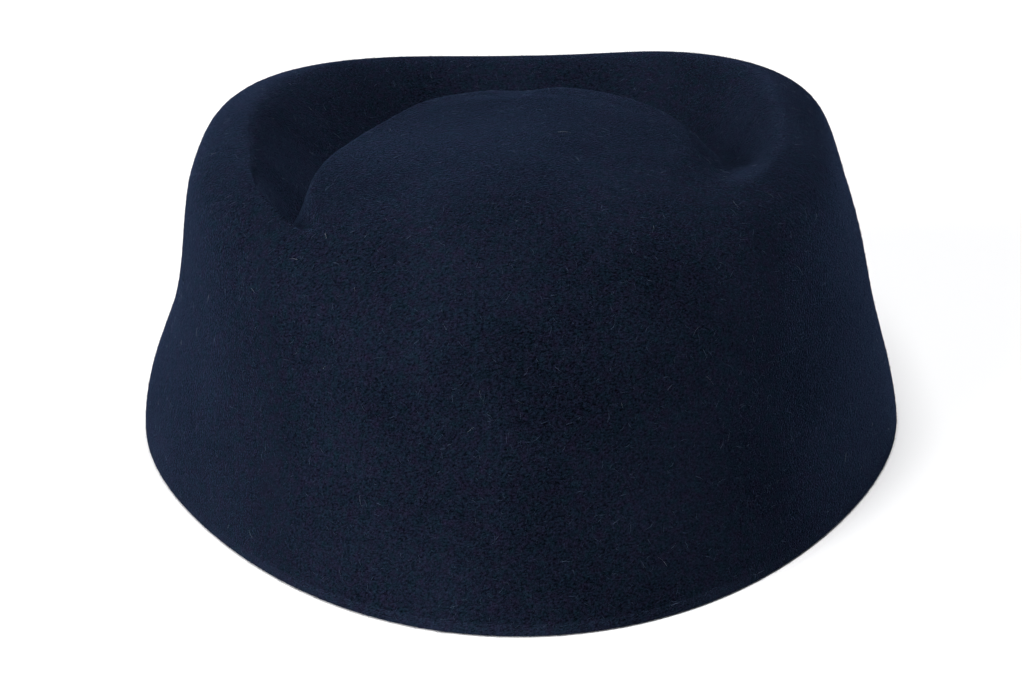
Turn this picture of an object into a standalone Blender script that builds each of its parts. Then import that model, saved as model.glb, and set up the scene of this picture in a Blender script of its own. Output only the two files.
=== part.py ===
# Uniform hat: a soft navy felt cap without brim or band, pressed from one piece of felt.
# A rounded ridge runs round the back and both sides of the crown. In front of it the
# felt is pushed down into a hollow, which ends in a sharp pinch on one side and a soft
# one on the other. The front rises in one smooth slope to a low dome, and the wall
# flares out to a plain cut edge.
#
# Frame: metres, +Z up, the front faces -Y, the cut edge lies on z = 0 and its box is
# centred on the origin.
# Azimuth runs from the front, positive towards +X (the wearer's left).

import bpy
import numpy as np

# Driving sizes. The middle is the line that all the sections run up to.
RIM_SIDE = 0.087       # middle to the cut edge on each side
RIM_FRONT = 0.104      # middle to the cut edge in front
RIM_BACK = 0.098       # middle to the cut edge behind
CROWN = 0.076          # height that the rise and depth shares are taken of
FELT = 0.0022          # thickness of the felt

# Distance from the middle in each direction, as a share of that side's size above
# section, front, right (+X), back, left (-X)
REACH = (
    ("cut edge", 1.000, 1.000, 1.000, 1.000),
    ("roll",     0.975, 0.995, 0.985, 1.000),
    ("flare",    0.925, 0.960, 0.945, 0.970),
    ("waist",    0.875, 0.920, 0.900, 0.900),
    ("wall",     0.830, 0.890, 0.850, 0.865),
    ("brow",     0.750, 0.840, 0.790, 0.846),
    ("ridge",    0.620, 0.790, 0.725, 0.811),
    ("shoulder", 0.440, 0.620, 0.600, 0.620),
    ("dome",     0.240, 0.400, 0.380, 0.400),
    ("top",      0.100, 0.150, 0.140, 0.150),
    ("pole",     0.000, 0.000, 0.000, 0.000),
)

# Height above the cut edge, as a share of CROWN
# section, front, right, back, left
RISE = (
    ("cut edge", 0.00, 0.00, 0.00, 0.00),
    ("roll",     0.07, 0.07, 0.07, 0.07),
    ("flare",    0.20, 0.22, 0.20, 0.22),
    ("waist",    0.38, 0.38, 0.38, 0.38),
    ("wall",     0.58, 0.58, 0.56, 0.58),
    ("brow",     0.76, 0.76, 0.74, 0.76),
    ("ridge",    0.88, 0.87, 0.82, 0.87),
    ("shoulder", 0.97, 0.91, 0.85, 0.91),
    ("dome",     1.00, 0.95, 0.91, 0.95),
    ("top",      0.98, 0.98, 0.98, 0.98),
    ("pole",     0.98, 0.98, 0.98, 0.98),
)

# How far each corner stands out of a plain oval, as a share of the reach
# section, front right, back right, back left, front left
CORNER = (
    ("cut edge", -0.037, 0.000, 0.000, -0.040),
    ("roll",     -0.033, 0.000, 0.000, -0.037),
    ("flare",    -0.030, 0.020, 0.020, -0.033),
    ("waist",    -0.020, 0.060, 0.060, -0.020),
    ("wall",      0.000, 0.100, 0.080,  0.000),
    ("brow",      0.030, 0.145, 0.120,  0.030),
    ("ridge",     0.030, 0.160, 0.130,  0.030),
    ("shoulder",  0.020, 0.100, 0.100,  0.020),
    ("dome",      0.000, 0.040, 0.040,  0.000),
    ("top",       0.000, 0.000, 0.000,  0.000),
    ("pole",      0.000, 0.000, 0.000,  0.000),
)

# The hollow behind the dome and its two pinches
# place, azimuth in degrees, outer edge, bottom and inner edge (of RIM_SIDE), depth (of
# CROWN), and how softly the felt rolls over at the outer and at the inner edge
HOLLOW = (
    ("left corner",      -128, 0.83, 0.42, 0.12, 0.26, 2.1, 2.3),
    ("left, behind",     -112, 0.77, 0.41, 0.17, 0.26, 2.3, 2.2),
    ("left side",         -94, 0.72, 0.42, 0.24, 0.25, 2.3, 2.0),
    ("left pinch",        -77, 0.70, 0.47, 0.33, 0.23, 2.1, 1.5),
    ("left pinch, front", -66, 0.72, 0.56, 0.43, 0.20, 1.7, 1.3),
    ("left tip",          -57, 0.74, 0.67, 0.56, 0.15, 1.3, 1.3),
    ("left tip, middle",  -50, 0.76, 0.72, 0.65, 0.09, 1.2, 1.4),
    ("left tip, front",   -44, 0.78, 0.75, 0.70, 0.04, 1.2, 1.4),
    ("left tip, end",     -36, 0.79, 0.76, 0.73, 0.00, 1.2, 1.4),
    ("front",               0, 0.75, 0.69, 0.55, 0.00, 1.5, 1.5),
    ("right tip, end",     40, 0.72, 0.63, 0.54, 0.00, 2.4, 2.0),
    ("right tip",          54, 0.71, 0.61, 0.51, 0.02, 2.5, 2.0),
    ("right pinch",        68, 0.70, 0.58, 0.45, 0.06, 2.5, 1.9),
    ("right side",         84, 0.69, 0.54, 0.37, 0.13, 2.5, 1.9),
    ("right, behind",     104, 0.72, 0.48, 0.24, 0.22, 2.4, 2.2),
    ("right corner",      132, 0.85, 0.49, 0.13, 0.25, 2.0, 2.5),
    ("back right",        155, 0.87, 0.47, 0.07, 0.25, 1.7, 2.6),
    ("back",              180, 0.82, 0.44, 0.06, 0.26, 1.7, 2.6),
    ("back left",         205, 0.84, 0.45, 0.07, 0.26, 1.7, 2.6),
)

# Mesh detail
COLUMNS = 72           # sections round the hat, one every 5 degrees
WALL_ROWS = 15         # rows from the cut edge to the hollow's outer edge
HOLLOW_ROWS = 11       # rows across the hollow
DOME_ROWS = 7          # rows from the hollow's inner edge to the pole
SAMPLES = 1201         # points worked out along each smooth section
SMOOTHING = 2          # times the skin's normals are averaged along a section

# Look
FELT_COLOUR = (0.010, 0.016, 0.040, 1.0)
FELT_ROUGHNESS = 0.95

MIDDLE_Y = (RIM_FRONT - RIM_BACK) / 2


def numbers(table):
    """The number columns of a table whose first column is a name."""
    return np.array([row[1:] for row in table], dtype=float)


def not_zero(values):
    """The values with 1 for each zero, to divide by where the top is zero as well."""
    return np.where(values == 0, 1.0, values)


def spline_weights(controls, samples):
    """Clamped cubic B-spline: the weight of each control at each sample."""
    degree = 3
    inner = np.linspace(0.0, 1.0, controls - degree + 1)
    knots = np.concatenate([np.zeros(degree), inner, np.ones(degree)])
    t = np.linspace(0.0, 1.0, samples)[:, None]
    span = degree + (t >= inner[1:-1]).sum(axis=1, keepdims=True)
    weights = (np.arange(len(knots) - 1) == span).astype(float)
    for step in range(1, degree + 1):
        low = knots[:-step - 1]
        high = knots[step + 1:]
        rising = (t - low) / not_zero(knots[step:-1] - low)
        falling = (high - t) / not_zero(high - knots[1:-step])
        weights = rising * weights[:, :-1] + falling * weights[:, 1:]
    return weights


def row_slopes(at, value):
    """Slope of each column at each row, flat where the column turns back."""
    gap = np.diff(at)[:, None]
    slope = np.diff(value, axis=0) / gap
    same_way = slope[:-1] * slope[1:] > 0
    safe = not_zero(slope)
    before = 2 * gap[1:] + gap[:-1]
    after = gap[1:] + 2 * gap[:-1]
    shared = before / safe[:-1] + after / safe[1:]
    mean = (before + after) / np.where(same_way, shared, 1.0)
    slopes = np.zeros_like(value)
    slopes[1:-1] = np.where(same_way, mean, 0.0)
    return slopes


def around(table, azimuth):
    """A table's columns at each azimuth in degrees, smooth between rows, no overshoot."""
    rows = numbers(table)
    at = np.concatenate([rows[:, 0] - 360, rows[:, 0], rows[:, 0] + 360])
    value = np.tile(rows[:, 1:], (3, 1))
    slopes = row_slopes(at, value)
    i = np.searchsorted(at, azimuth, side="right") - 1
    gap = (at[i + 1] - at[i])[:, None]
    t = (azimuth - at[i])[:, None] / gap
    start = (1 + 2 * t) * (1 - t) ** 2 * value[i] + t * (1 - t) ** 2 * gap * slopes[i]
    end = t * t * (3 - 2 * t) * value[i + 1] + t * t * (t - 1) * gap * slopes[i + 1]
    return start + end


def section_curves(turn):
    """Radius and height along each section before the hollow is pressed in."""
    east = np.sin(turn)[:, None]
    north = np.cos(turn)[:, None]
    reach = numbers(REACH) * (RIM_FRONT, RIM_SIDE, RIM_BACK, RIM_SIDE)
    rise = numbers(RISE) * CROWN
    ahead = np.where(north > 0, 0, 2)[:, 0]
    aside = np.where(east > 0, 1, 3)[:, 0]
    quarter = np.where(north > 0, np.where(east > 0, 0, 3), np.where(east > 0, 1, 2))[:, 0]
    across = reach[:, aside].T
    along = reach[:, ahead].T
    corner = numbers(CORNER)[:, quarter].T * np.sin(2 * turn)[:, None] ** 2
    oval = across * along / not_zero(np.hypot(east * along, north * across))
    radius = (1 + corner) * oval
    height = rise[:, aside].T * east ** 2 + rise[:, ahead].T * north ** 2
    weights = spline_weights(len(REACH), SAMPLES).T
    return radius @ weights, height @ weights


def sample(curves, place):
    """Each curve read at its own fractional sample numbers."""
    low = np.clip(place.astype(int), 0, curves.shape[1] - 2)
    part = place - low
    row = np.arange(len(curves))[:, None]
    return curves[row, low] * (1 - part) + curves[row, low + 1] * part


def place_of_radius(radius, wanted):
    """Fractional sample number where each section's radius has fallen to the wanted one."""
    low = (radius > wanted[:, None]).sum(axis=1) - 1
    row = np.arange(len(radius))
    step = radius[row, low] - radius[row, low + 1]
    return low + (radius[row, low] - wanted) / step


def spread(start, end, rows):
    """Even places from start, which is left out, to end."""
    share = np.arange(1, rows + 1) / rows
    return start[:, None] + (end - start)[:, None] * share


def outer_skin(turn):
    """Points of the outside: one row per section, from the cut edge to the pole."""
    radius, height = section_curves(turn)
    columns = around(HOLLOW, np.degrees(turn)).T[:, :, None]
    outer, bottom, inner = columns[:3] * RIM_SIDE
    depth, outer_soft, inner_soft = columns[3:]
    edge = np.zeros(len(turn))
    pole = np.full(len(turn), SAMPLES - 1.0)
    starts = place_of_radius(radius, outer[:, 0])
    ends = place_of_radius(radius, inner[:, 0])
    wall = spread(edge, starts, WALL_ROWS)
    hollow = spread(starts, ends, HOLLOW_ROWS)
    dome = spread(ends, pole, DOME_ROWS)
    place = np.hstack([edge[:, None], wall, hollow, dome])
    r = sample(radius, place)
    beyond = r > bottom
    away = np.where(beyond, (r - bottom) / (outer - bottom), (bottom - r) / (bottom - inner))
    soft = np.where(beyond, outer_soft, inner_soft)
    z = sample(height, place) - depth * CROWN * np.clip(1 - away ** 2, 0, 1) ** soft
    x = r * np.sin(turn)[:, None]
    y = MIDDLE_Y - r * np.cos(turn)[:, None]
    return np.stack([x, y, z], axis=2)


def skin_normals(points):
    """Outward normals of a skin, averaged along each section."""
    round_hat = np.roll(points, -1, axis=0) - np.roll(points, 1, axis=0)
    up_section = np.gradient(points, axis=1)
    normals = np.cross(round_hat, up_section)
    normals[:, -1] = (0.0, 0.0, 1.0)
    normals /= np.linalg.norm(normals, axis=2, keepdims=True)
    for _ in range(SMOOTHING):
        middle = normals[:, 1:-1]
        normals[:, 1:-1] = normals[:, :-2] + 2 * middle + normals[:, 2:]
        normals /= np.linalg.norm(normals, axis=2, keepdims=True)
    return normals


def inner_skin(points):
    """Points of the inside, one felt thickness in, with the same flat cut edge."""
    normals = skin_normals(points)
    normals[:, 0, 2] = 0.0
    normals[:, 0] /= np.linalg.norm(normals[:, 0], axis=1, keepdims=True)
    return points - FELT * normals


def ring_faces(lower, upper):
    """Quads between two rings of vertex numbers."""
    after_lower = np.roll(lower, -1)
    after_upper = np.roll(upper, -1)
    return np.stack([lower, after_lower, after_upper, upper], axis=1).tolist()


def fan_faces(ring, pole):
    """Triangles from a ring of vertex numbers to one vertex."""
    return np.stack([ring, np.roll(ring, -1), np.full(len(ring), pole)], axis=1).tolist()


def skin_faces(columns, rows, first):
    """Faces of one skin whose pole is its last vertex."""
    ring = first + np.arange(rows * columns).reshape(rows, columns)
    faces = []
    for row in range(rows - 1):
        faces += ring_faces(ring[row], ring[row + 1])
    return faces + fan_faces(ring[-1], first + rows * columns)


def skin_vertices(points):
    """Vertices ring by ring, then the pole once."""
    rings = points[:, :-1].transpose(1, 0, 2).reshape(-1, 3)
    return np.vstack([rings, points[:1, -1]])


def felt_mesh():
    """Vertices and faces of the closed felt: outside, inside and the cut edge."""
    turn = np.linspace(-np.pi, np.pi, COLUMNS, endpoint=False)
    outside = outer_skin(turn)
    inside = inner_skin(outside)
    rows = outside.shape[1] - 1
    count = rows * COLUMNS + 1
    outer_faces = skin_faces(COLUMNS, rows, 0)
    inner_faces = [face[::-1] for face in skin_faces(COLUMNS, rows, count)]
    rim = np.arange(COLUMNS)
    edge_faces = ring_faces(rim + count, rim)
    vertices = np.vstack([skin_vertices(outside), skin_vertices(inside)])
    return vertices, outer_faces + inner_faces + edge_faces


def felt_material():
    """Dark navy wool felt."""
    material = bpy.data.materials.new("navy_felt")
    material.use_nodes = True
    shader = material.node_tree.nodes["Principled BSDF"]
    shader.inputs["Base Color"].default_value = FELT_COLOUR
    shader.inputs["Roughness"].default_value = FELT_ROUGHNESS
    return material


def clear_scene():
    for thing in list(bpy.data.objects):
        bpy.data.objects.remove(thing, do_unlink=True)


def build():
    clear_scene()
    vertices, faces = felt_mesh()
    mesh = bpy.data.meshes.new("felt_body")
    mesh.from_pydata(vertices.tolist(), [], faces)
    mesh.update()
    mesh.materials.append(felt_material())
    hat = bpy.data.objects.new("felt_body", mesh)
    bpy.context.scene.collection.objects.link(hat)


build()
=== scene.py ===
# %% [markdown]
# # A navy felt uniform hat
# The real hat is one piece of wool felt. A maker steams a felt cone, pulls it over a
# wooden block and presses the hollow into the crown by hand, then trims the edge and
# brushes the surface until a short nap stands up.
# This lesson builds it in that order: the form, the felt's thickness, the nap, the
# finish, and then a pale floor, soft light and a camera.

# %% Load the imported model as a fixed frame
import bpy
import numpy as np
from mathutils import Matrix


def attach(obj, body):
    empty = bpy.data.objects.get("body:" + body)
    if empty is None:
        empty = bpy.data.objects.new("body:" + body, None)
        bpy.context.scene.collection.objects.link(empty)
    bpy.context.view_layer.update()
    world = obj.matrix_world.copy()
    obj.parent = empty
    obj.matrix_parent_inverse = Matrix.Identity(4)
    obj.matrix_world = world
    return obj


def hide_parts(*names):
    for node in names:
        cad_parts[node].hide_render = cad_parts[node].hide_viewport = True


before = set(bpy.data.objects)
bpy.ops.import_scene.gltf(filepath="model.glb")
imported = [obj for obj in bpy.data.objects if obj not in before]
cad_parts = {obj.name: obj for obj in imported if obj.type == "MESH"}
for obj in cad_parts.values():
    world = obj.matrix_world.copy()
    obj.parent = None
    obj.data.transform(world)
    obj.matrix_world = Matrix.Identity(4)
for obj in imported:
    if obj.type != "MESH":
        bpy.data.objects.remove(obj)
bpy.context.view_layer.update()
print("nodes of the frame:", sorted(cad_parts))

# %% [markdown]
# ## The form, as tables
# A hat block is drawn as sections: where does the felt stand at the cut edge, at the
# waist, on the ridge, on the dome? Each row below names one such place, and gives how
# far it lies from the middle and how high, in four directions. Lengths are shares of a
# few named sizes, so the whole hat can be resized from the top.

# %% Sizes in metres, and the sections
RIM_SIDE = 0.087
RIM_FRONT = 0.104
RIM_BACK = 0.098
CROWN = 0.076
FELT = 0.0022
MIDDLE_Y = (RIM_FRONT - RIM_BACK) / 2

# section, then the share of the rim's reach in front, right, back, left
REACH = (
    ("cut edge", 1.000, 1.000, 1.000, 1.000),
    ("roll",     0.975, 0.995, 0.985, 1.000),
    ("flare",    0.925, 0.960, 0.945, 0.970),
    ("waist",    0.875, 0.920, 0.900, 0.900),
    ("wall",     0.830, 0.890, 0.850, 0.865),
    ("brow",     0.750, 0.840, 0.790, 0.846),
    ("ridge",    0.620, 0.790, 0.725, 0.811),
    ("shoulder", 0.440, 0.620, 0.600, 0.620),
    ("dome",     0.240, 0.400, 0.380, 0.400),
    ("top",      0.100, 0.150, 0.140, 0.150),
    ("pole",     0.000, 0.000, 0.000, 0.000),
)

# section, then the height as a share of CROWN in front, right, back, left
RISE = (
    ("cut edge", 0.00, 0.00, 0.00, 0.00),
    ("roll",     0.07, 0.07, 0.07, 0.07),
    ("flare",    0.20, 0.22, 0.20, 0.22),
    ("waist",    0.38, 0.38, 0.38, 0.38),
    ("wall",     0.58, 0.58, 0.56, 0.58),
    ("brow",     0.76, 0.76, 0.74, 0.76),
    ("ridge",    0.88, 0.87, 0.82, 0.87),
    ("shoulder", 0.97, 0.91, 0.85, 0.91),
    ("dome",     1.00, 0.95, 0.91, 0.95),
    ("top",      0.98, 0.98, 0.98, 0.98),
    ("pole",     0.98, 0.98, 0.98, 0.98),
)

# section, then how far the corner stands out of an oval: front right, back right,
# back left, front left
CORNER = (
    ("cut edge", -0.037, 0.000, 0.000, -0.040),
    ("roll",     -0.033, 0.000, 0.000, -0.037),
    ("flare",    -0.030, 0.020, 0.020, -0.033),
    ("waist",    -0.020, 0.060, 0.060, -0.020),
    ("wall",      0.000, 0.100, 0.080,  0.000),
    ("brow",      0.030, 0.145, 0.120,  0.030),
    ("ridge",     0.030, 0.160, 0.130,  0.030),
    ("shoulder",  0.020, 0.100, 0.100,  0.020),
    ("dome",      0.000, 0.040, 0.040,  0.000),
    ("top",       0.000, 0.000, 0.000,  0.000),
    ("pole",      0.000, 0.000, 0.000,  0.000),
)

# place, azimuth in degrees from the front (+ to the right), then the hollow's outer
# edge, bottom and inner edge as shares of RIM_SIDE, its depth as a share of CROWN, and
# how softly it rolls over at the outer and at the inner edge
HOLLOW = (
    ("left corner",      -128, 0.83, 0.42, 0.12, 0.26, 2.1, 2.3),
    ("left, behind",     -112, 0.77, 0.41, 0.17, 0.26, 2.3, 2.2),
    ("left side",         -94, 0.72, 0.42, 0.24, 0.25, 2.3, 2.0),
    ("left pinch",        -77, 0.70, 0.47, 0.33, 0.23, 2.1, 1.5),
    ("left pinch, front", -66, 0.72, 0.56, 0.43, 0.20, 1.7, 1.3),
    ("left tip",          -57, 0.74, 0.67, 0.56, 0.15, 1.3, 1.3),
    ("left tip, middle",  -50, 0.76, 0.72, 0.65, 0.09, 1.2, 1.4),
    ("left tip, front",   -44, 0.78, 0.75, 0.70, 0.04, 1.2, 1.4),
    ("left tip, end",     -36, 0.79, 0.76, 0.73, 0.00, 1.2, 1.4),
    ("front",               0, 0.75, 0.69, 0.55, 0.00, 1.5, 1.5),
    ("right tip, end",     40, 0.72, 0.63, 0.54, 0.00, 2.4, 2.0),
    ("right tip",          54, 0.71, 0.61, 0.51, 0.02, 2.5, 2.0),
    ("right pinch",        68, 0.70, 0.58, 0.45, 0.06, 2.5, 1.9),
    ("right side",         84, 0.69, 0.54, 0.37, 0.13, 2.5, 1.9),
    ("right, behind",     104, 0.72, 0.48, 0.24, 0.22, 2.4, 2.2),
    ("right corner",      132, 0.85, 0.49, 0.13, 0.25, 2.0, 2.5),
    ("back right",        155, 0.87, 0.47, 0.07, 0.25, 1.7, 2.6),
    ("back",              180, 0.82, 0.44, 0.06, 0.26, 1.7, 2.6),
    ("back left",         205, 0.84, 0.45, 0.07, 0.26, 1.7, 2.6),
)
print("sections:", len(REACH), "places round the hollow:", len(HOLLOW))

# %% [markdown]
# ## Smooth curves through the tables
# Up each section the rows are the handles of a cubic B-spline. Such a curve bends as a
# thin lath does and never kinks, so it suits blocked felt. Round the hat, the hollow's
# rows are joined by cubic pieces that never overshoot, so that the pinches stay put.

# %% Curve helpers
SAMPLES = 1201      # points worked out along each section


def numbers(table):
    """The number columns of a table whose first column is a name."""
    return np.array([row[1:] for row in table], dtype=float)


def not_zero(values):
    """The values with 1 for each zero, to divide by where the top is zero as well."""
    return np.where(values == 0, 1.0, values)


def spline_weights(controls, samples):
    """Clamped cubic B-spline: the weight of each control at each sample, by the usual
    recursion. Each degree blends two neighbours of the degree before it."""
    degree = 3
    inner = np.linspace(0.0, 1.0, controls - degree + 1)
    knots = np.concatenate([np.zeros(degree), inner, np.ones(degree)])
    t = np.linspace(0.0, 1.0, samples)[:, None]
    span = degree + (t >= inner[1:-1]).sum(axis=1, keepdims=True)
    weights = (np.arange(len(knots) - 1) == span).astype(float)
    for step in range(1, degree + 1):
        low = knots[:-step - 1]
        high = knots[step + 1:]
        rising = (t - low) / not_zero(knots[step:-1] - low)
        falling = (high - t) / not_zero(high - knots[1:-step])
        weights = rising * weights[:, :-1] + falling * weights[:, 1:]
    return weights


def row_slopes(at, value):
    """Slope of each column at each row: the weighted harmonic mean of the slopes before
    and after it, and flat where the column turns back."""
    gap = np.diff(at)[:, None]
    slope = np.diff(value, axis=0) / gap
    same_way = slope[:-1] * slope[1:] > 0
    safe = not_zero(slope)
    before = 2 * gap[1:] + gap[:-1]
    after = gap[1:] + 2 * gap[:-1]
    shared = before / safe[:-1] + after / safe[1:]
    mean = (before + after) / np.where(same_way, shared, 1.0)
    slopes = np.zeros_like(value)
    slopes[1:-1] = np.where(same_way, mean, 0.0)
    return slopes


def around(table, azimuth):
    """A table's columns at each azimuth in degrees: a cubic between two rows that takes
    their values and slopes, with the table repeated one turn before and after."""
    rows = numbers(table)
    at = np.concatenate([rows[:, 0] - 360, rows[:, 0], rows[:, 0] + 360])
    value = np.tile(rows[:, 1:], (3, 1))
    slopes = row_slopes(at, value)
    i = np.searchsorted(at, azimuth, side="right") - 1
    gap = (at[i + 1] - at[i])[:, None]
    t = (azimuth - at[i])[:, None] / gap
    start = (1 + 2 * t) * (1 - t) ** 2 * value[i] + t * (1 - t) ** 2 * gap * slopes[i]
    end = t * t * (3 - 2 * t) * value[i + 1] + t * t * (t - 1) * gap * slopes[i + 1]
    return start + end


# %% Sections at any azimuth
def section_curves(turn):
    """Radius and height along each section before the hollow is pressed in.
    In plan each ring is an ellipse quarter by quarter, times 1 + corner sin^2(2 turn).
    Its height is the front's or back's times cos^2 of the turn plus the side's times
    sin^2 of it."""
    east = np.sin(turn)[:, None]
    north = np.cos(turn)[:, None]
    reach = numbers(REACH) * (RIM_FRONT, RIM_SIDE, RIM_BACK, RIM_SIDE)
    rise = numbers(RISE) * CROWN
    ahead = np.where(north > 0, 0, 2)[:, 0]
    aside = np.where(east > 0, 1, 3)[:, 0]
    front_quarter = np.where(east > 0, 0, 3)
    back_quarter = np.where(east > 0, 1, 2)
    quarter = np.where(north > 0, front_quarter, back_quarter)[:, 0]
    across = reach[:, aside].T
    along = reach[:, ahead].T
    corner = numbers(CORNER)[:, quarter].T * np.sin(2 * turn)[:, None] ** 2
    oval = across * along / not_zero(np.hypot(east * along, north * across))
    radius = (1 + corner) * oval
    height = rise[:, aside].T * east ** 2 + rise[:, ahead].T * north ** 2
    weights = spline_weights(len(REACH), SAMPLES).T
    return radius @ weights, height @ weights


def sample(curves, place):
    """Each curve read at its own fractional sample numbers, by straight pieces."""
    low = np.clip(place.astype(int), 0, curves.shape[1] - 2)
    part = place - low
    row = np.arange(len(curves))[:, None]
    return curves[row, low] * (1 - part) + curves[row, low + 1] * part


def place_of_radius(radius, wanted):
    """Fractional sample number where each section's radius falls to the wanted one."""
    low = (radius > wanted[:, None]).sum(axis=1) - 1
    row = np.arange(len(radius))
    step = radius[row, low] - radius[row, low + 1]
    return low + (radius[row, low] - wanted) / step


def spread(start, end, rows):
    """Even places from start, which is left out, to end."""
    share = np.arange(1, rows + 1) / rows
    return start[:, None] + (end - start)[:, None] * share


# %% [markdown]
# ## The outside of the felt
# The hollow is pressed into the sections as a thumb would do it: deepest in the middle
# between its outer and inner edge, and fading out at both. A hand-pressed hat is never
# quite even, so the dome also gets the faint furrow behind its highest line and a
# wobble of a few tenths of a millimetre.

# %% Press the hollow, furrow the dome, let the wall wobble
COLUMNS = 300
WALL_ROWS = 72
HOLLOW_ROWS = 56
DOME_ROWS = 28

FURROW_Y = 0.0050       # where the furrow crosses the middle line
FURROW_BEND = 13.0      # how fast it runs forward away from there, per metre
FURROW_WIDTH = 0.0024
FURROW_LENGTH = 0.024
FURROW_DEPTH = 0.0002

WOBBLE = 0.00025
WOBBLE_FADE = 4         # it is whole from a quarter of the crown's height upwards
WOBBLE_LIFT = 0.5       # the share of it that lifts the felt as well
# waves round the hat, waves up the wall, phase, share
WAVES = (
    (2, 0.6, 0.4, 1.0),
    (3, 1.0, 2.1, 0.7),
    (5, 0.8, 4.0, 0.5),
    (9, 0.5, 1.2, 0.3),
)


def furrow(x, y):
    """The furrow's share at a point: a bell across it times a bell along it."""
    off = (y - FURROW_Y + FURROW_BEND * x * x) / FURROW_WIDTH
    along = x / FURROW_LENGTH
    return np.exp(-off ** 2 - along ** 2)


def wobble(turn, z):
    """A sum of sines of the turn and the height, fading to nothing at the cut edge."""
    rise = z / CROWN
    total = 0
    for round_hat, up_wall, phase, share in WAVES:
        total = total + share * np.sin(round_hat * turn[:, None] + phase
                                       + 2 * np.pi * up_wall * rise)
    return WOBBLE * total * np.clip(WOBBLE_FADE * rise, 0, 1)


def outer_skin(turn, furrow_depth):
    """Points of the outside, one row per section, from the cut edge to the pole.
    The press is depth (1 - u^2)^softness, where u runs from 0 at the hollow's bottom
    to 1 at its outer edge, and to 1 again at its inner edge."""
    radius, height = section_curves(turn)
    columns = around(HOLLOW, np.degrees(turn)).T[:, :, None]
    outer, bottom, inner = columns[:3] * RIM_SIDE
    depth, outer_soft, inner_soft = columns[3:]
    edge = np.zeros(len(turn))
    pole = np.full(len(turn), SAMPLES - 1.0)
    starts = place_of_radius(radius, outer[:, 0])
    ends = place_of_radius(radius, inner[:, 0])
    wall = spread(edge, starts, WALL_ROWS)
    hollow = spread(starts, ends, HOLLOW_ROWS)
    dome = spread(ends, pole, DOME_ROWS)
    place = np.hstack([edge[:, None], wall, hollow, dome])
    r = sample(radius, place)
    beyond = r > bottom
    u = np.where(beyond, (r - bottom) / (outer - bottom), (bottom - r) / (bottom - inner))
    soft = np.where(beyond, outer_soft, inner_soft)
    z = sample(height, place) - depth * CROWN * np.clip(1 - u ** 2, 0, 1) ** soft
    uneven = wobble(turn, z) * np.clip(r / inner, 0, 1)
    x = (r + uneven) * np.sin(turn)[:, None]
    y = -(r + uneven) * np.cos(turn)[:, None]
    z = z - furrow_depth * furrow(x, y) + WOBBLE_LIFT * uneven
    return np.stack([x, y + MIDDLE_Y, z], axis=2)


turn = np.linspace(-np.pi, np.pi, COLUMNS, endpoint=False)
outside = outer_skin(turn, FURROW_DEPTH)
print("outside grid:", outside.shape[:2], "highest point mm:",
      round(outside[:, :, 2].max() * 1000, 1))

# %% [markdown]
# ## The thickness of the felt and its cut edge
# Felt has the same thickness everywhere, so the inside is the outside moved in along
# its normals. The normals are averaged first, because in the sharp pinch the true ones
# would cross. The edge is a plain shear cut whose two corners have rubbed a little
# round: each corner is a quadratic arc with the sharp corner as its handle.

# %% Inside and cut edge
INNER_STEP = 2          # the inside keeps every second row
SMOOTHING = 190         # how often the inside's normals are averaged
EDGE_ROUND = 0.00045    # how far each corner of the cut edge has worn
EDGE_UP = 2             # the wall's direction at the edge is read this many rows above it
POLE_CALM = 0.012       # within this radius the normals lean to straight up
ARC = np.linspace(0.0, 1.0, 5)[:, None, None]      # t along a worn corner


def unit(vectors):
    """Vectors scaled to length one."""
    return vectors / np.linalg.norm(vectors, axis=-1, keepdims=True)


def skin_normals(points, passes):
    """Outward normals of a grid: the cross product of its steps round and up, averaged
    along each section and round the hat as 1, 2, 1 as often as passes says."""
    round_hat = np.roll(points, -1, axis=0) - np.roll(points, 1, axis=0)
    up_section = np.gradient(points, axis=1)
    normals = np.cross(round_hat, up_section)
    normals[:, -1] = (0.0, 0.0, 1.0)
    normals = unit(normals)
    for _ in range(passes):
        middle = normals[:, 1:-1]
        normals[:, 1:-1] = unit(normals[:, :-2] + 2 * middle + normals[:, 2:])
        normals = unit(np.roll(normals, 1, axis=0) + 2 * normals
                       + np.roll(normals, -1, axis=0))
    return normals


def inner_skin(points):
    """The outside moved in by one felt thickness; its first row stays on the floor."""
    normals = skin_normals(points, SMOOTHING)
    radius = np.hypot(points[:, :, 0], points[:, :, 1] - MIDDLE_Y)
    calm = np.clip(1 - radius / POLE_CALM, 0, 1)[:, :, None]
    normals = unit(normals * (1 - calm) + calm * (0.0, 0.0, 1.0))
    normals[:, 0, 2] = 0.0
    normals[:, 0] = unit(normals[:, 0])
    return points - FELT * normals


def corner_arc(wall, corner, floor):
    """(1-t)^2 wall + 2t(1-t) corner + t^2 floor, for each column."""
    return (1 - ARC) ** 2 * wall + 2 * ARC * (1 - ARC) * corner + ARC ** 2 * floor


def cut_edge(skin, inward):
    """The rounded corner where a skin meets the floor, as rings from wall to floor."""
    corner = skin[:, 0]
    up = unit(skin[:, EDGE_UP] - corner)
    return corner_arc(corner + EDGE_ROUND * up, corner, corner + EDGE_ROUND * inward)


inside = inner_skin(outer_skin(turn, 0.0))
inward = unit(inside[:, 0] - outside[:, 0])
outer_rings = outside[:, :0:-1].transpose(1, 0, 2)
inner_rings = inside[:, INNER_STEP::INNER_STEP].transpose(1, 0, 2)
edge_outside = cut_edge(outside, inward)
edge_inside = cut_edge(inside, -inward)[::-1]
print("felt thickness mm:", FELT * 1000, "rings of the inside:", len(inner_rings))


# %% [markdown]
# ## One closed mesh
# All rings are stacked in one order: from the outside's pole down to the cut edge,
# round it, and up the inside to its pole. Neighbouring rings are joined by quads and
# each pole by a fan, so the felt is one closed skin without an open seam.

# %% Mesh helpers
NO_QUADS = np.zeros((0, 4), int)
NO_TRIANGLES = np.zeros((0, 3), int)


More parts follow.
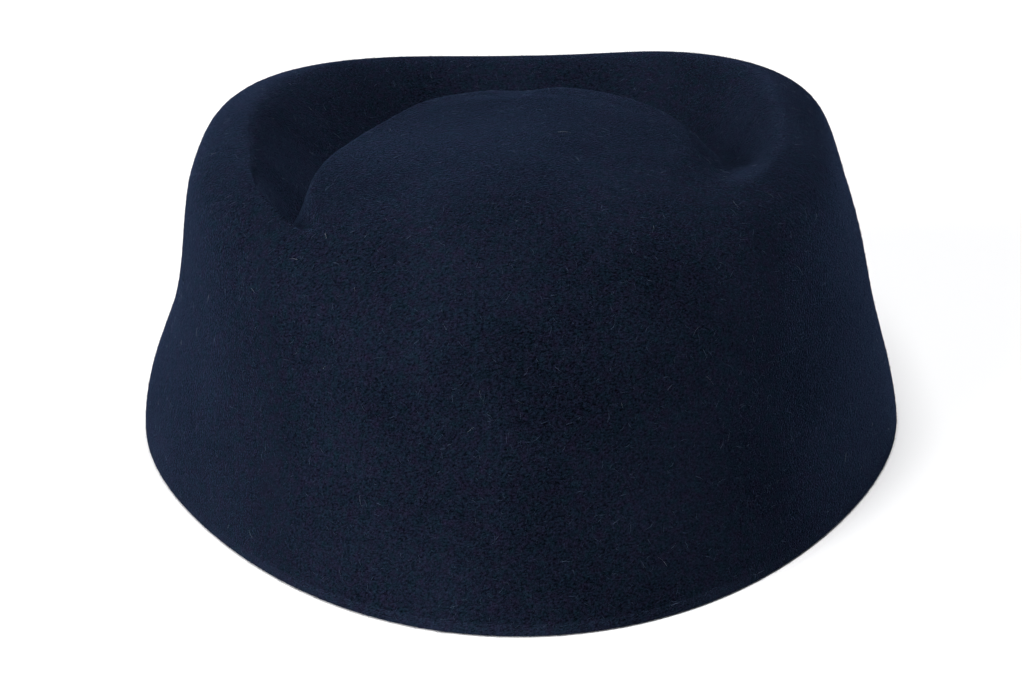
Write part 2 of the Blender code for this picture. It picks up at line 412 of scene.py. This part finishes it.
def ring_quads(rings, columns):
    """Quads between each ring and the next, as rows of four vertex numbers."""
    grid = np.arange(rings * columns).reshape(rings, columns)
    after = np.roll(grid, -1, axis=1)
    quads = np.stack([grid[:-1], grid[1:], after[1:], after[:-1]], axis=2)
    return quads.reshape(-1, 4)


def pole_fan(pole, ring, flip):
    """Triangles from one pole to a ring."""
    after = np.roll(ring, -1)
    pair = (after, ring) if flip else (ring, after)
    return np.stack([np.full(len(ring), pole), *pair], axis=1)


def make_mesh(name, points, quads, triangles):
    """A mesh object from whole arrays, smooth all over."""
    mesh = bpy.data.meshes.new(name)
    corners = np.concatenate([quads.ravel(), triangles.ravel()])
    sizes = np.concatenate([np.full(len(quads), 4), np.full(len(triangles), 3)])
    starts = np.concatenate([[0], np.cumsum(sizes)[:-1]])
    mesh.vertices.add(len(points))
    mesh.vertices.foreach_set("co", points.astype(np.float32).ravel())
    mesh.loops.add(len(corners))
    mesh.loops.foreach_set("vertex_index", corners.astype(np.int32))
    mesh.polygons.add(len(sizes))
    mesh.polygons.foreach_set("loop_start", starts.astype(np.int32))
    mesh.polygons.foreach_set("use_smooth", np.ones(len(sizes), bool))
    mesh.update(calc_edges=True)
    mesh.validate()
    piece = bpy.data.objects.new(name, mesh)
    bpy.context.scene.collection.objects.link(piece)
    return piece


def set_attribute(piece, name, values):
    """Store one number per vertex, for a material to read."""
    attribute = piece.data.attributes.new(name, "FLOAT", "POINT")
    attribute.data.foreach_set("value", values.astype(np.float32))


# %% The felt shell
def felt_shell():
    """Outside, cut edge and inside as one closed mesh, with a material number per face:
    0 outside, 1 cut edge, 2 inside."""
    outer_pole = outside[0, -1]
    inner_pole = inside[0, -1]
    stacks = [outer_rings[1:-1], edge_outside, edge_inside, inner_rings[:-1]]
    rings = np.concatenate(stacks)
    count = rings.shape[0] * COLUMNS
    points = np.vstack([rings.reshape(-1, 3), outer_pole[None], inner_pole[None]])
    quads = ring_quads(len(rings), COLUMNS)
    top_fan = pole_fan(count, np.arange(COLUMNS), False)
    inner_fan = pole_fan(count + 1, np.arange(count - COLUMNS, count), True)
    triangles = np.vstack([top_fan, inner_fan])
    band = np.repeat([0, 1, 1, 2], [len(stack) for stack in stacks])[1:]
    number = np.concatenate([np.repeat(band, COLUMNS), np.zeros(COLUMNS),
                             np.full(COLUMNS, 2)])
    shell = make_mesh("felt_shell", points, quads, triangles)
    shell.data.polygons.foreach_set("material_index", number.astype(np.int32))
    return shell


shell = felt_shell()
print("felt_shell triangles:", sum(len(p.vertices) - 2 for p in shell.data.polygons))

# %% [markdown]
# ## The nap, fibre by fibre
# Brushed felt carries a nap of fine wool ends. Only as real fibres do they soften the
# outline and catch light at the ridge, so they are made, not painted. Each short one is
# a closed needle of four triangles with its root just under the surface. They lean low,
# swept round the hat as the brush went: evenly on one side, loosely on the other.

# %% Where fibres stand and which way the brush laid them
SHORT_FIBRES = 48000     # in each short layer
LONG_FIBRES = 19000
NAP_SEED = 20
NAP_SMOOTHING = 2        # how often the normals that fibres stand on are averaged
BRUSH_ANGLE = 12.0       # degrees that the nap rises away from level
EVEN_SPREAD = 40.0       # degrees that a usual fibre strays from it on the even side
LOOSE_SPREAD = 90.0      # the same on the loose side
EDGE_BAND = 0.003        # height of a band along the cut edge
EDGE_CROWD = 1.6         # how much denser fibres stand in that band
TINY = 1e-6              # keeps a direction from being zero at the pole


def scatter(points, normals, count, rng):
    """Random places on a grid: a cell is drawn by its area, and the place in it is a
    bilinear blend of its corners. Gives the place, its normal, and the level and the
    upward direction in the surface there."""
    after = np.roll(points, -1, axis=0)
    diagonal_a = after[:, 1:] - points[:, :-1]
    diagonal_b = points[:, 1:] - after[:, :-1]
    area = np.linalg.norm(np.cross(diagonal_a, diagonal_b), axis=2) / 2
    crowd = np.where(points[:, :-1, 2] < EDGE_BAND, EDGE_CROWD, 1.0)
    chance = np.cumsum((area * crowd).ravel())
    cell = np.searchsorted(chance, rng.random(count) * chance[-1])
    column, row = np.unravel_index(cell, area.shape)
    a = rng.random(count)[:, None]
    b = rng.random(count)[:, None]
    beside = (column + 1) % len(points)

    def blend(grid):
        low = grid[column, row] * (1 - a) + grid[beside, row] * a
        high = grid[column, row + 1] * (1 - a) + grid[beside, row + 1] * a
        return low * (1 - b) + high * b

    place = blend(points)
    normal = unit(blend(normals))
    level = np.cross((0.0, 0.0, 1.0), normal)
    level = unit(level + TINY)
    up = np.cross(normal, level)
    return place, normal, level, up


def brushed(place, level, up, rng):
    """Direction of each fibre in the surface: BRUSH_ANGLE above level, plus a stray
    angle whose spread grows from the even side (+X) to the loose side (-X)."""
    side = np.clip(0.5 + place[:, 0] / RIM_SIDE / 2, 0, 1)
    spread_here = LOOSE_SPREAD + (EVEN_SPREAD - LOOSE_SPREAD) * side
    angle = np.radians(BRUSH_ANGLE + spread_here * rng.normal(size=len(place)))[:, None]
    return np.cos(angle) * level + np.sin(angle) * up


outside_normals = skin_normals(outside, NAP_SMOOTHING)
rng = np.random.default_rng(NAP_SEED)

# %% Fibres as closed needles and tubes
FIBRE_WIDTH = 0.000062
ROOT_DEPTH = 0.00008     # how deep a root lies under the surface
TIP_TAPER = 0.7          # how much of its width a fibre loses on its way to the tip
SHADE_START = 0.02       # shades lie on the map from here
SHADE_SPAN = 0.95        # over this much of its width
SHADE_DOT = 0.008        # size of a fibre's triangles on the map


def fibre_centres(place, normal, along, length, lift, bend, rings):
    """Centre lines: root + length (t direction + t^2 bend), where the direction leans
    away from the surface by lift and the bend brings the tip down and aside."""
    t = np.linspace(0.0, 1.0, rings + 1)[None, :, None]
    across = np.cross(normal, along)
    start = unit(along + lift[:, None] * normal)
    turn_down = bend[:, :1] * across - bend[:, 1:] * normal
    root = place - ROOT_DEPTH * normal
    line = root[:, None] + length[:, None, None] * (t * start[:, None]
                                                    + t ** 2 * turn_down[:, None])
    line[:, :, 2] = np.maximum(line[:, :, 2], FIBRE_WIDTH)
    return line


def tapered_tubes(line, normal, width):
    """Three-sided closed tubes round centre lines: a root triangle, further triangles
    that shrink towards the tip, and one point as the tip."""
    count, rings = line.shape[0], line.shape[1] - 1
    ahead = unit(line[:, 1] - line[:, 0])
    side = unit(np.cross(ahead, normal))
    lift = np.cross(side, ahead)
    thirds = 2 * np.pi * np.arange(3) / 3 + np.pi / 2
    star = (np.cos(thirds)[None, :, None] * side[:, None]
            + np.sin(thirds)[None, :, None] * lift[:, None])
    taper = 1 - TIP_TAPER * np.arange(rings) / rings
    radius = width[:, None, None, None] / 2 * taper[None, :, None, None]
    bodies = line[:, :rings, None] + radius * star[:, None]
    points = np.concatenate([bodies.reshape(count, -1, 3), line[:, -1:]], axis=1)
    return points.reshape(-1, 3), tube_triangles(count, rings)


def tube_triangles(count, rings):
    """Triangles of count tubes: the root cap, the sides and the tip."""
    here = np.arange(3)
    after = (here + 1) % 3
    parts = [np.array([[0, 2, 1]])]
    for ring in range(rings - 1):
        a, b = 3 * ring + here, 3 * ring + after
        parts.append(np.stack([a, b, b + 3], axis=1))
        parts.append(np.stack([a, b + 3, a + 3], axis=1))
    last = 3 * (rings - 1)
    parts.append(np.stack([last + here, last + after, np.full(3, 3 * rings)], axis=1))
    one = np.concatenate(parts)
    first = np.arange(count) * (3 * rings + 1)
    return (first[:, None, None] + one[None]).reshape(-1, 3)


def set_shade_map(piece, shade, faces_each):
    """A UV map on which every face of one fibre is a tiny triangle at u = its shade, so
    a colour that depends on u alone gives each fibre one colour."""
    layer = piece.data.uv_layers.new(name="OFBake")
    start = np.repeat(SHADE_START + SHADE_SPAN * shade, faces_each)[:, None]
    u = start + (0.0, SHADE_DOT, 0.0)
    v = np.broadcast_to((0.5, 0.5, 0.5 + SHADE_DOT), u.shape)
    layer.data.foreach_set("uv", np.stack([u, v], axis=2).astype(np.float32).ravel())


# %% One kind of fibre as a mesh
def between(limits, share):
    """The lower limit plus a share of the way to the upper one."""
    return limits[0] + (limits[1] - limits[0]) * share


def fibre_mesh(name, kind, place, normal, along, rng):
    """Fibres of one kind at the given places, each lying along its direction."""
    count = len(place)
    length = between(kind["length"], rng.random(count) ** kind["rarity"])
    lift = between(kind["lift"], rng.random(count))
    bend = np.stack([kind["aside"] * rng.normal(size=count), kind["down"] * lift], axis=1)
    line = fibre_centres(place, normal, along, length, lift, bend, kind["rings"])
    width = between(kind["width"], rng.random(count))
    points, triangles = tapered_tubes(line, normal, width)
    piece = make_mesh(name, points, NO_QUADS, triangles)
    set_shade_map(piece, rng.random(count), len(triangles) // count)
    print(name, "triangles:", len(triangles))
    return piece


# %% The nap's layers
# Each kind has its least and greatest length, a power that makes long ones rarer, its
# least and greatest lift off the surface, how far it bends aside, how far its tip bends
# down as a share of the lift, its least and greatest width, and its rings.
SHORT = {"length": (0.00045, 0.00110), "rarity": 1.5, "lift": (0.15, 0.80),
         "aside": 0.35, "down": 0.55, "rings": 1,
         "width": (0.7 * FIBRE_WIDTH, 1.3 * FIBRE_WIDTH)}
STEEP = {**SHORT, "lift": (0.20, 1.10)}
LONG = {**SHORT, "length": (0.0011, 0.0026), "lift": (0.05, 0.40), "rings": 2}
LAYERS = (
    ("nap_short_a", SHORT_FIBRES, SHORT),
    ("nap_short_b", SHORT_FIBRES, SHORT),
    ("nap_short_c", SHORT_FIBRES, STEEP),
    ("nap_long", LONG_FIBRES, LONG),
)


def nap_layer(name, count, kind, rng):
    """One piece of nap: fibres scattered over the outside as the brush laid them."""
    place, normal, level, up = scatter(outside, outside_normals, count, rng)
    along = brushed(place, level, up, rng)
    return fibre_mesh(name, kind, place, normal, along, rng)


nap = [nap_layer(*layer, rng) for layer in LAYERS]

# %% [markdown]
# ## A few pale hairs
# Coarse white hairs are left in any wool felt, and they take the dye badly. They are the
# only bright marks on the hat: a few hundred fine curls, one to three millimetres long.

# %% Pale hairs
PALE_HAIRS = 300
PALE = {"length": (0.0008, 0.0032), "rarity": 2, "lift": (0.10, 0.35),
        "aside": 0.45, "down": 0.8, "rings": 5, "width": (0.000027, 0.000054)}


def pale_hairs(rng):
    """Curled hairs in any direction, close to the surface."""
    place, normal, level, up = scatter(outside, outside_normals, PALE_HAIRS, rng)
    angle = 2 * np.pi * rng.random(PALE_HAIRS)[:, None]
    along = np.cos(angle) * level + np.sin(angle) * up
    return fibre_mesh("pale_hairs", PALE, place, normal, along, rng)


hairs = pale_hairs(rng)

# %% [markdown]
# ## Shader effects that the felt's finishes share
# Dyed wool is never one blue: the blend holds greener and redder fibres, which show as
# faint patches about two millimetres wide. On top lies the grain of the nap, long one
# way and narrow the other. Both are node groups, so outside, edge and inside use the
# same effect with their own values.

# %% Node helpers
def add(tree, kind, inputs=None, **settings):
    """A shader node with its settings. Each input is linked or given a value."""
    made = tree.nodes.new(kind)
    for name, value in settings.items():
        setattr(made, name, value)
    for name, value in (inputs or {}).items():
        if isinstance(value, bpy.types.NodeSocket):
            tree.links.new(value, made.inputs[name])
        else:
            made.inputs[name].default_value = value
    return made


def new_group(name, inputs, outputs):
    """An empty node group with named sockets, and its input and output nodes."""
    tree = bpy.data.node_groups.new(name, "ShaderNodeTree")
    for socket, kind in inputs:
        tree.interface.new_socket(name=socket, in_out="INPUT", socket_type=kind)
    for socket, kind in outputs:
        tree.interface.new_socket(name=socket, in_out="OUTPUT", socket_type=kind)
    return tree, tree.nodes.new("NodeGroupInput"), tree.nodes.new("NodeGroupOutput")


def noise(tree, vector, scale, detail=2.0, roughness=0.5):
    """The noise value at vector times scale; scale is in patches per metre. Each finer
    layer is not quite twice as fine, so that their grids never line up."""
    made = add(tree, "ShaderNodeTexNoise", {"Vector": vector, "Scale": scale,
                                            "Detail": detail, "Roughness": roughness,
                                            "Lacunarity": 1.93})
    return made.outputs["Fac"]


def ranged(tree, value, given, wanted=(0.0, 1.0)):
    """value stretched so that the range given becomes the range wanted, and clamped."""
    made = add(tree, "ShaderNodeMapRange", {
        "Value": value, "From Min": given[0], "From Max": given[1],
        "To Min": wanted[0], "To Max": wanted[1]})
    return made.outputs["Result"]


def maths(tree, operation, *values):
    """The result of one operation on its values, each of them linked or a number."""
    return add(tree, "ShaderNodeMath", dict(enumerate(values)),
               operation=operation).outputs[0]


def mixed(tree, factor, first, second):
    """Two colours mixed by a factor."""
    made = add(tree, "ShaderNodeMix", data_type="RGBA")
    values = {"Factor_Float": factor, "A_Color": first, "B_Color": second}
    for name, value in values.items():
        socket = next(s for s in made.inputs if s.identifier == name)
        if isinstance(value, bpy.types.NodeSocket):
            tree.links.new(value, socket)
        else:
            socket.default_value = value
    return next(s for s in made.outputs if s.identifier == "Result_Color")


# %% Group: brushed grain
VALUE, VECTOR, COLOUR = "NodeSocketFloat", "NodeSocketVector", "NodeSocketColor"


def brushed_grain_group():
    """Grain that is Length long and Width wide. It runs along X where the surface faces
    front or back and along Y where Side Share is 1, and climbs by Slant."""
    tree, given, out = new_group(
        "brushed_grain",
        [("Vector", VECTOR), ("Side Share", VALUE), ("Width", VALUE), ("Length", VALUE),
         ("Slant", VALUE)],
        [("Grain", VALUE)])
    fine = maths(tree, "DIVIDE", 1.0, given.outputs["Width"])
    coarse = maths(tree, "DIVIDE", 1.0, given.outputs["Length"])
    parts = add(tree, "ShaderNodeSeparateXYZ", {0: given.outputs["Vector"]}).outputs
    climb = maths(tree, "MULTIPLY", parts["X"], given.outputs["Slant"])
    height = maths(tree, "SUBTRACT", parts["Z"], climb)
    sloped = add(tree, "ShaderNodeCombineXYZ",
                 {"X": parts["X"], "Y": parts["Y"], "Z": height}).outputs[0]
    grains = []
    for x_scale, y_scale in ((coarse, fine), (fine, coarse)):
        scale = add(tree, "ShaderNodeCombineXYZ",
                    {"X": x_scale, "Y": y_scale, "Z": fine}).outputs[0]
        place = add(tree, "ShaderNodeVectorMath", {0: sloped, 1: scale},
                    operation="MULTIPLY").outputs[0]
        grains.append(noise(tree, place, 1.0, detail=3.0, roughness=0.6))
    both = add(tree, "ShaderNodeMix", {0: given.outputs["Side Share"], 2: grains[0],
                                       3: grains[1]}).outputs[0]
    tree.links.new(both, out.inputs["Grain"])
    return tree


# %% Group: wool mottle
RED_SHIFT = (0.31, 0.17, 0.53)      # lays the red patches elsewhere than the green ones
PATCH_RANGE = (0.42, 0.72)          # noise values from the patch's edge to its middle
CLOUDS_PER_METRE = 38.0
CLOUD_RANGE = (0.3, 0.7)
CLOUD_LIGHT = (0.80, 1.22)          # how much the clouds darken and lighten the wool
DARKEST = 0.15                      # the grain never darkens the wool beyond this share


def wool_mottle_group():
    """Colour, tinted in patches towards Green Tint and Red Tint, and lightened or
    darkened by the grain and by broad soft clouds."""
    tree, given, out = new_group(
        "wool_mottle",
        [("Vector", VECTOR), ("Colour", COLOUR), ("Green Tint", COLOUR),
         ("Red Tint", COLOUR), ("Patches Per Metre", VALUE), ("Tint", VALUE),
         ("Grain", VALUE), ("Grain Strength", VALUE)],
        [("Color", COLOUR)])
    place = given.outputs["Vector"]
    shifted = add(tree, "ShaderNodeVectorMath", {0: place, 1: RED_SHIFT},
                  operation="ADD").outputs[0]
    colour = given.outputs["Colour"]
    for spot, tint in ((place, "Green Tint"), (shifted, "Red Tint")):
        patch = noise(tree, spot, given.outputs["Patches Per Metre"],
                      detail=4.0, roughness=0.8)
        mask = maths(tree, "MULTIPLY", ranged(tree, patch, PATCH_RANGE),
                     given.outputs["Tint"])
        colour = mixed(tree, mask, colour, given.outputs[tint])
    clouds = ranged(tree, noise(tree, place, CLOUDS_PER_METRE), CLOUD_RANGE, CLOUD_LIGHT)
    centred = maths(tree, "SUBTRACT", given.outputs["Grain"], 0.5)
    swing = maths(tree, "MULTIPLY_ADD", centred, given.outputs["Grain Strength"], clouds)
    strength = maths(tree, "MAXIMUM", swing, DARKEST)
    shaded = add(tree, "ShaderNodeVectorMath", {0: colour, "Scale": strength},
                 operation="SCALE").outputs[0]
    tree.links.new(shaded, out.inputs["Color"])
    return tree


brushed_grain = brushed_grain_group()
wool_mottle = wool_mottle_group()
print("shader groups:", [group.name for group in bpy.data.node_groups])

# %% [markdown]
# ## Felt finishes
# Wool felt has no gloss. Its fibres scatter light forward at shallow angles, which
# shows as a soft blue bloom on the ridge and the dome, so a sheen is set on the shader.
# The cut edge shows the middle of the felt; its colour is painted paler than the
# outside, painted light that lifts the edge out of the shade where it meets the floor.
# The inside was never brushed, so its grain hardly has a direction.

# %% Felt materials
NAVY = (0.0050, 0.0080, 0.0164, 1.0)
# painted light: the cut edge is paler than NAVY so that it stands lighter than its shade
# at the floor
CUT_NAVY_PAINTED_LIGHT = (0.0078, 0.0120, 0.0240, 1.0)
INSIDE_NAVY = (0.0046, 0.0072, 0.0140, 1.0)
GREEN_TINT = (0.0026, 0.0122, 0.0152, 1.0)
RED_TINT = (0.0118, 0.0060, 0.0186, 1.0)
SHEEN_TINT = (0.30, 0.48, 1.00, 1.0)
BESIDE = (0.137, 0.211, 0.173)      # keeps the noise's own middle off the hat
PATCHES_PER_METRE = 450.0
TINT = 0.50                         # how strongly the patches are tinted
SLANT = 0.16                        # how much the grain climbs along X
RELIEF_PER_METRE = 2600.0           # scale of the finest relief


def new_material(name, roughness, sheen, sheen_roughness):
    """A material with its shader's constant values set on the shader's own sockets."""
    material = bpy.data.materials.new(name)
    material.use_nodes = True
    shader = material.node_tree.nodes["Principled BSDF"]
    shader.inputs["Roughness"].default_value = roughness
    shader.inputs["Sheen Weight"].default_value = sheen
    shader.inputs["Sheen Roughness"].default_value = sheen_roughness
    shader.inputs["Sheen Tint"].default_value = SHEEN_TINT
    shader.inputs["Specular IOR Level"].default_value = 0.0
    return material, material.node_tree, shader


def felt_material(name, colour, grain_size, grain_strength, bump, sheen):
    """Mottled wool with a grain of (width, length) and its bump in metres."""
    material, tree, shader = new_material(name, roughness=0.95, sheen=sheen,
                                          sheen_roughness=0.22)
    place = add(tree, "ShaderNodeTexCoord").outputs["Object"]
    place = add(tree, "ShaderNodeVectorMath", {0: place, 1: BESIDE},
                operation="ADD").outputs[0]
    side = add(tree, "ShaderNodeAttribute", attribute_name="side_share").outputs["Fac"]
    grain = add(tree, "ShaderNodeGroup", {
        "Vector": place, "Side Share": side, "Width": grain_size[0],
        "Length": grain_size[1], "Slant": SLANT},
        node_tree=brushed_grain).outputs["Grain"]
    mottled = add(tree, "ShaderNodeGroup", {
        "Vector": place, "Colour": colour, "Green Tint": GREEN_TINT,
        "Red Tint": RED_TINT, "Patches Per Metre": PATCHES_PER_METRE, "Tint": TINT,
        "Grain": grain, "Grain Strength": grain_strength},
        node_tree=wool_mottle).outputs["Color"]
    tree.links.new(mottled, shader.inputs["Base Color"])
    fine = noise(tree, place, RELIEF_PER_METRE, detail=1.0)
    height = maths(tree, "ADD", grain, fine)
    relief = add(tree, "ShaderNodeBump", {"Height": height, "Distance": bump,
                                          "Strength": 1.0}).outputs["Normal"]
    tree.links.new(relief, shader.inputs["Normal"])
    return material


def fibre_material(name, ramp, sheen):
    """A fibre's colour is read from a ramp at u of its shade map."""
    material, tree, shader = new_material(name, roughness=0.75, sheen=sheen,
                                          sheen_roughness=0.5)
    shade = add(tree, "ShaderNodeUVMap", uv_map="OFBake").outputs["UV"]
    u = add(tree, "ShaderNodeSeparateXYZ", {0: shade}).outputs["X"]
    colours = add(tree, "ShaderNodeValToRGB", {"Fac": u})
    stops = colours.color_ramp.elements
    for number, (position, red, green, blue) in enumerate(ramp):
        stop = stops[number] if number < 2 else stops.new(position)
        stop.position = position
        stop.color = (red, green, blue, 1.0)
    tree.links.new(colours.outputs["Color"], shader.inputs["Base Color"])
    return material


# %% Finishes for the shell and the fibres
# name, colour, grain width and length, grain strength, height of the relief, sheen;
# their order is that of the shell's material numbers
FELTS = (
    ("brushed_felt", NAVY, (0.00036, 0.0006), 4.1, 0.00030, 0.13),
    # the cut edge's paler colour is painted light against its shade at the floor
    ("cut_felt_painted_light", CUT_NAVY_PAINTED_LIGHT, (0.0003, 0.0006), 4.0, 0.00025, 0.08),
    ("unbrushed_felt", INSIDE_NAVY, (0.0004, 0.0005), 1.2, 0.00012, 0.05),
)
# place on the ramp, then red, green and blue
NAP_RAMP = (
    (0.00, 0.0012, 0.0022, 0.0050),
    (0.30, 0.0050, 0.0085, 0.0180),
    (0.48, 0.0070, 0.0200, 0.0300),
    (0.62, 0.0230, 0.0190, 0.0420),
    (0.78, 0.0340, 0.0500, 0.0900),
    (1.00, 0.0900, 0.1180, 0.1800),
)
PALE_RAMP = (
    (0.00, 0.05, 0.07, 0.11),
    (0.70, 0.16, 0.20, 0.26),
    (1.00, 0.42, 0.44, 0.48),
)
SIDE_SHARPNESS = 7.0     # how fast the grain turns from the front's run to the side's


def side_share(piece):
    """0 where the surface faces front, back or up, and 1 where it faces a side: the
    normal's X share less its Y share, times the sharpness, plus a half."""
    flat = np.empty(len(piece.data.vertices) * 3, np.float32)
    piece.data.vertices.foreach_get("normal", flat)
    normal = np.abs(flat.reshape(-1, 3))
    return np.clip((normal[:, 0] - normal[:, 1]) * SIDE_SHARPNESS + 0.5, 0, 1)


for felt in FELTS:
    shell.data.materials.append(felt_material(*felt))
nap_wool = fibre_material("nap_wool", NAP_RAMP, sheen=0.04)
pale_wool = fibre_material("pale_wool", PALE_RAMP, sheen=0.05)
for piece in nap:
    piece.data.materials.append(nap_wool)
hairs.data.materials.append(pale_wool)
set_attribute(shell, "side_share", side_share(shell))
print("materials:", [material.name for material in bpy.data.materials])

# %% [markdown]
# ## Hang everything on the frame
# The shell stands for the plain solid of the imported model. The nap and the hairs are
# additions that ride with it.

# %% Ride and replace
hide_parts("felt_body")
for piece in [shell, *nap, hairs]:
    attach(piece, "root")

# %% [markdown]
# ## Floor, light and camera
# The hat stands on a plain pale floor. The light is large and soft. Most of it comes from
# above and from a window at the front left, so the ridge, the dome and the left wall are
# light, and the hollow and the front stay dark.

# %% Floor and light
FLOOR_HALF = 6.0         # from the middle of the floor to its sides
FLOOR_DROP = 0.0002      # keeps it clear of the cut edge
FLOOR_COLOUR = (0.94, 0.94, 0.95, 1.0)
FLOOR_ROUGHNESS = 0.9
AIM = (0.0, 0.0, 0.04)   # every light points at the hat's middle
# name, place, size in metres, power in watts
LAMPS = (
    ("overhead", (0.0, 0.05, 1.6), 1.2, 31.0),
    ("left window", (-1.3, -0.8, 0.36), 1.3, 42.0),
    ("right wall", (1.5, 0.1, 0.30), 0.9, 2.5),
)
SKY_COLOUR = (0.95, 0.97, 1.0, 1.0)
SKY_STRENGTH = 0.02


def stage_floor():
    """A wide plane just under the cut edge."""
    half = FLOOR_HALF
    corners = np.array([(-half, -half), (half, -half), (half, half), (-half, half)])
    points = np.column_stack([corners, np.full(4, -FLOOR_DROP)])
    floor = make_mesh("floor", points, np.array([[0, 1, 2, 3]]), NO_TRIANGLES)
    material = bpy.data.materials.new("pale_floor")
    material.use_nodes = True
    shader = material.node_tree.nodes["Principled BSDF"]
    shader.inputs["Base Color"].default_value = FLOOR_COLOUR
    shader.inputs["Roughness"].default_value = FLOOR_ROUGHNESS
    floor.data.materials.append(material)


def soft_light(name, place, size, power):
    """A square soft light at place that points at AIM."""
    lamp = bpy.data.lights.new(name, "AREA")
    lamp.shape = "SQUARE"
    lamp.size = size
    lamp.energy = power
    thing = bpy.data.objects.new(name, lamp)
    bpy.context.scene.collection.objects.link(thing)
    look = unit(np.array(AIM) - np.array(place))
    side = unit(np.cross(look, (0.0, 0.0, 1.0)))
    rise = np.cross(side, look)
    matrix = np.eye(4)
    matrix[:3, 0], matrix[:3, 1], matrix[:3, 2] = side, rise, -look
    matrix[:3, 3] = place
    thing.matrix_world = Matrix(matrix.tolist())


stage_floor()
for lamp in LAMPS:
    soft_light(*lamp)

world = bpy.data.worlds.new("soft_sky")
bpy.context.scene.world = world
world.use_nodes = True
sky = world.node_tree.nodes["Background"]
sky.inputs["Color"].default_value = SKY_COLOUR
sky.inputs["Strength"].default_value = SKY_STRENGTH
bpy.context.scene.view_settings.view_transform = "Standard"

# %% Camera
CAMERA_TILT = 25.0       # degrees that it looks down
CAMERA_ROLL = 0.8        # degrees that it leans to one side
CAMERA_DISTANCE = 0.578
CAMERA_AIM = np.array([-0.0021, 0.0030, 0.01575])
FOCAL_PIXELS = 2500.0    # focal length in pixels of an image this wide
IMAGE_WIDTH = 1022.0
SENSOR = 36.0            # width in millimetres
NEAREST = 0.01           # what lies nearer than this isn't drawn


def photo_camera():
    """A camera CAMERA_DISTANCE from its aim, tilted down and rolled a little."""
    tilt, roll = np.radians([CAMERA_TILT, CAMERA_ROLL])
    forward = np.array([0.0, np.cos(tilt), -np.sin(tilt)])
    up = np.array([0.0, np.sin(tilt), np.cos(tilt)])
    right = np.array([1.0, 0.0, 0.0])
    matrix = np.eye(4)
    matrix[:3, 0] = right * np.cos(roll) - up * np.sin(roll)
    matrix[:3, 1] = right * np.sin(roll) + up * np.cos(roll)
    matrix[:3, 2] = -forward
    matrix[:3, 3] = CAMERA_AIM - CAMERA_DISTANCE * forward
    lens = bpy.data.cameras.new("camera")
    lens.sensor_width = SENSOR
    lens.lens = FOCAL_PIXELS * SENSOR / IMAGE_WIDTH
    lens.clip_start = NEAREST
    camera = bpy.data.objects.new("camera", lens)
    bpy.context.scene.collection.objects.link(camera)
    camera.matrix_world = Matrix(matrix.tolist())
    bpy.context.scene.camera = camera
    print("lens mm:", round(lens.lens, 2))


photo_camera()
